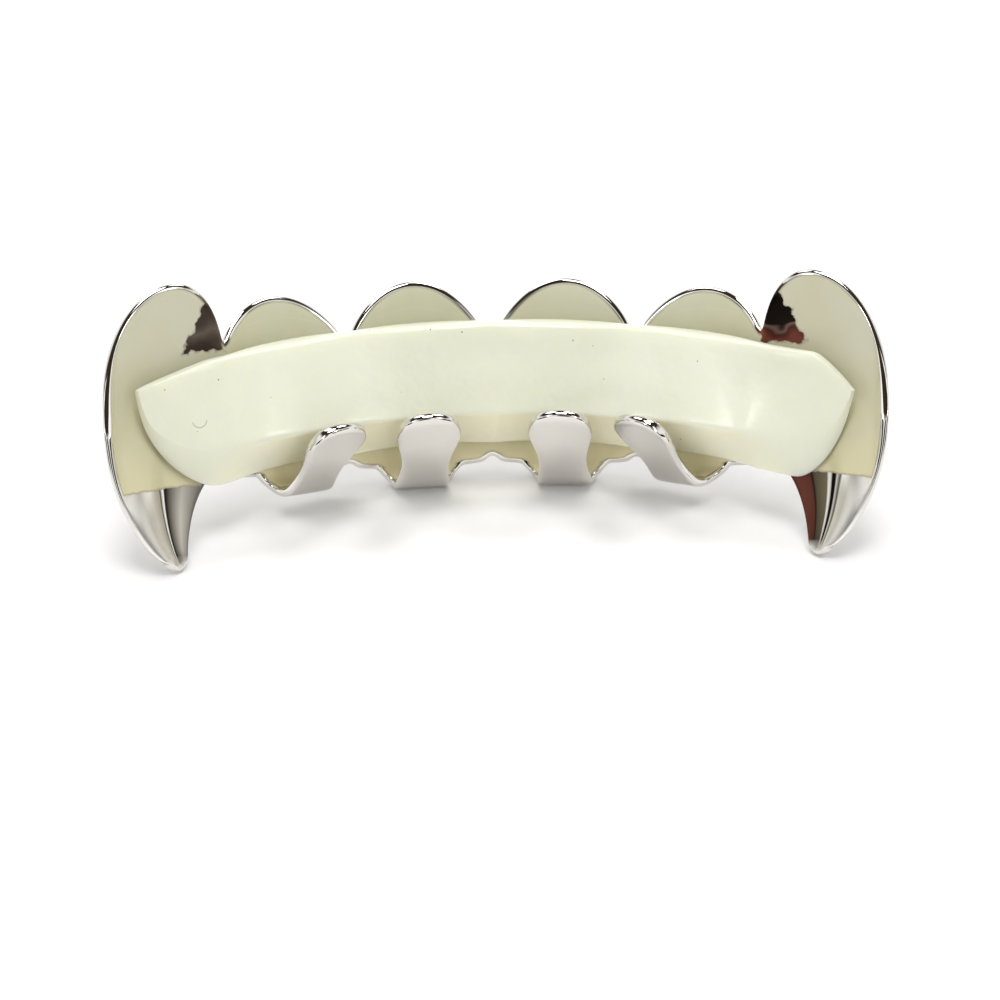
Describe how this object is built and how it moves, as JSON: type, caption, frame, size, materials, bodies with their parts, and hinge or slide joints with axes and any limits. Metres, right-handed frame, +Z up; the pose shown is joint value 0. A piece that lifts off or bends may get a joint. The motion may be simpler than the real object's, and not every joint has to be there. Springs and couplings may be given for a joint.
{
  "type": "vampire fang grillz",
  "caption": "Polished silver-tone cap grill for the upper front teeth, with long vampire fangs at its ends, folded hook tabs behind the incisor caps and a cream silicone fitting bar",
  "frame": {"origin": "middle of the bounding box, on the surface that the fang tips and the central hook folds stand on", "axes": "+X along the row of teeth, +Y towards the lips (the outside of the caps), +Z up from the surface"},
  "size_m": [0.0448, 0.0148, 0.0145],
  "materials": {
    "plated_metal": "mirror-polished silver plating",
    "cream_silicone": "translucent, smooth satin"
  },
  "bodies": {
    "root": {"grill_shell": "plated_metal", "silicone_bar": "cream_silicone"}
  },
  "joints": []
}
